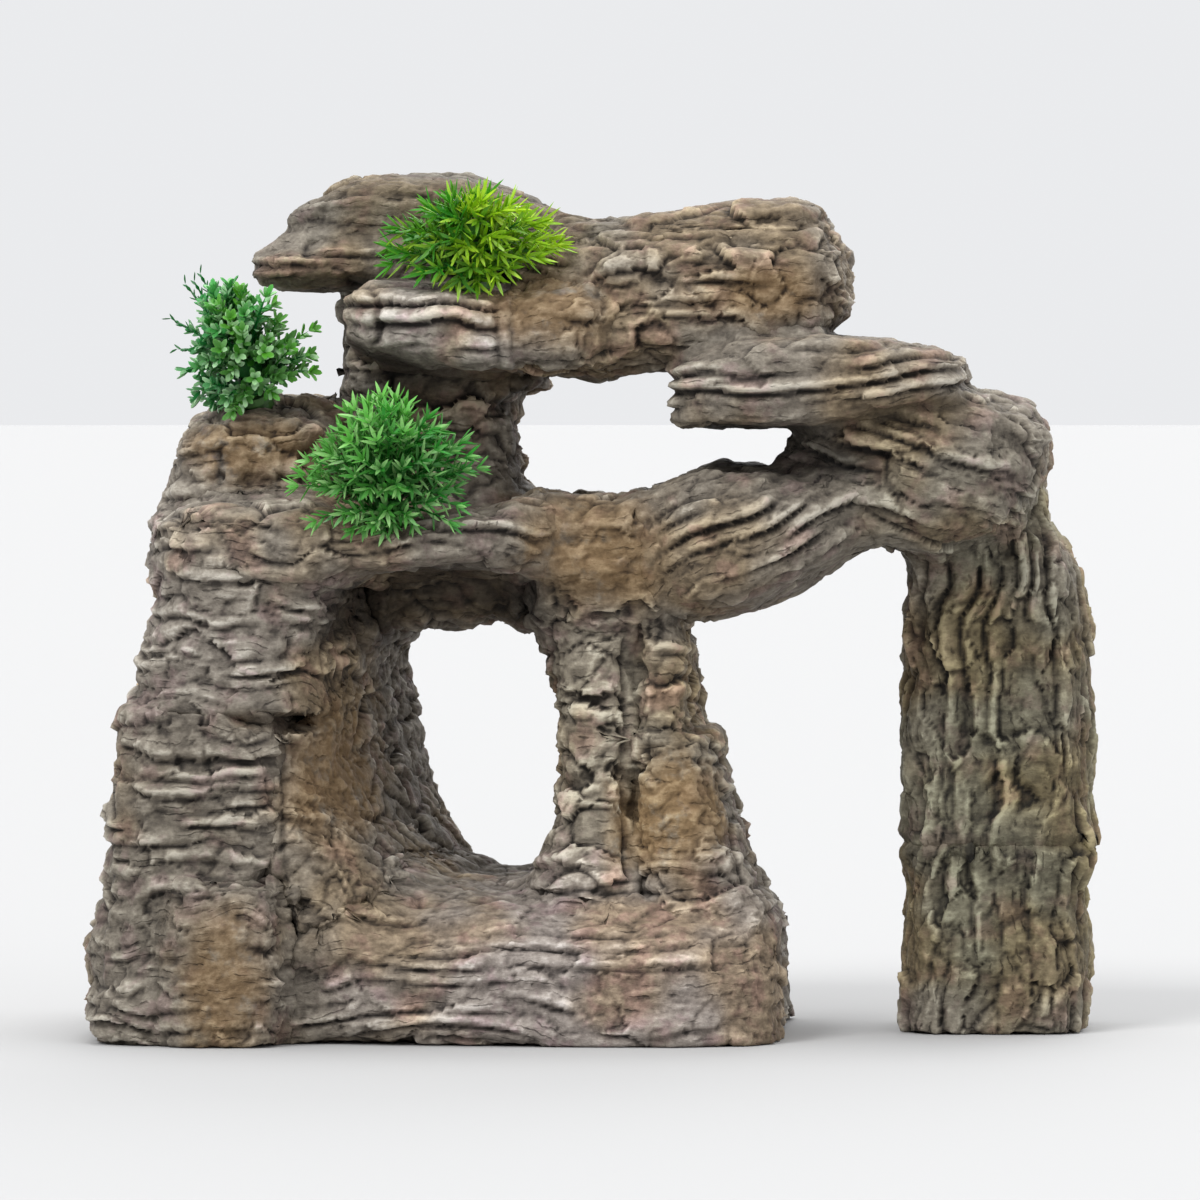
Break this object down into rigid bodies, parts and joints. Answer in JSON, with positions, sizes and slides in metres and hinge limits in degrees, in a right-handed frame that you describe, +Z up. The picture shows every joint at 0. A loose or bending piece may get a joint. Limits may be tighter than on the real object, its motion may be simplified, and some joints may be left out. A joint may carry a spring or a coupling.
{
  "type": "resin cave ornament",
  "caption": "Rock-like resin aquarium ornament: a stepped tower with a see-through cave, a bridge slab and an arch on a leg, with plug-in plastic grass tufts.",
  "frame": {"origin": "on the surface the ornament stands on, under the middle of its bounding box", "axes": "+X to the right along the ornament, from the tower to the arch, +Y to its back, +Z up"},
  "size_m": [0.197, 0.1066, 0.1694],
  "materials": {
    "resin_rock": "matt grey-brown paint, pale dry-brushed ridges and dark crevices",
    "dark_leaf": "semi-gloss moulded green",
    "bright_leaf": "semi-gloss moulded yellow-green",
    "stem_plastic": "moulded dark green"
  },
  "bodies": {
    "rockwork": {"foot_block": "resin_rock", "tower_lower": "resin_rock", "tower_upper": "resin_rock", "cave_sill": "resin_rock", "cave_jamb": "resin_rock", "cave_lintel": "resin_rock", "pillar_inner": "resin_rock", "pillar_outer_lower": "resin_rock", "pillar_outer_upper": "resin_rock", "keystone": "resin_rock", "ledge_slab": "resin_rock", "shoulder_block": "resin_rock", "upper_column": "resin_rock", "neck_block": "resin_rock", "front_slab": "resin_rock", "lip_slab": "resin_rock", "crown_slab": "resin_rock", "bridge_root": "resin_rock", "bridge_slab": "resin_rock", "bridge_cap": "resin_rock", "upper_arch_slab": "resin_rock", "lower_arch_slab": "resin_rock", "arch_lobe": "resin_rock", "arch_leg_upper": "resin_rock", "arch_leg_lower": "resin_rock"},
    "crown_tuft": {"crown_tuft_stem": "stem_plastic", "crown_tuft_whorl_1": "bright_leaf", "crown_tuft_whorl_2": "bright_leaf", "crown_tuft_sprig": "bright_leaf"},
    "ledge_tuft": {"ledge_tuft_stem": "stem_plastic", "ledge_tuft_whorl_1": "dark_leaf", "ledge_tuft_whorl_2": "dark_leaf", "ledge_tuft_sprig": "dark_leaf"},
    "shoulder_tuft": {"shoulder_tuft_stem": "stem_plastic", "shoulder_tuft_whorl_1": "dark_leaf", "shoulder_tuft_whorl_2": "dark_leaf", "shoulder_tuft_sprig": "dark_leaf"}
  },
  "joints": [
    {"name": "crown_tuft_lift", "type": "slide", "parent": "rockwork", "child": "crown_tuft", "axis": [0, -0.0995, 0.995], "range_m": [0, 0.014]},
    {"name": "ledge_tuft_lift", "type": "slide", "parent": "rockwork", "child": "ledge_tuft", "axis": [0, -0.4104, 0.9119], "range_m": [0, 0.012]},
    {"name": "shoulder_tuft_lift", "type": "slide", "parent": "rockwork", "child": "shoulder_tuft", "axis": [-0.2762, -0.2762, 0.9206], "range_m": [0, 0.014]}
  ]
}
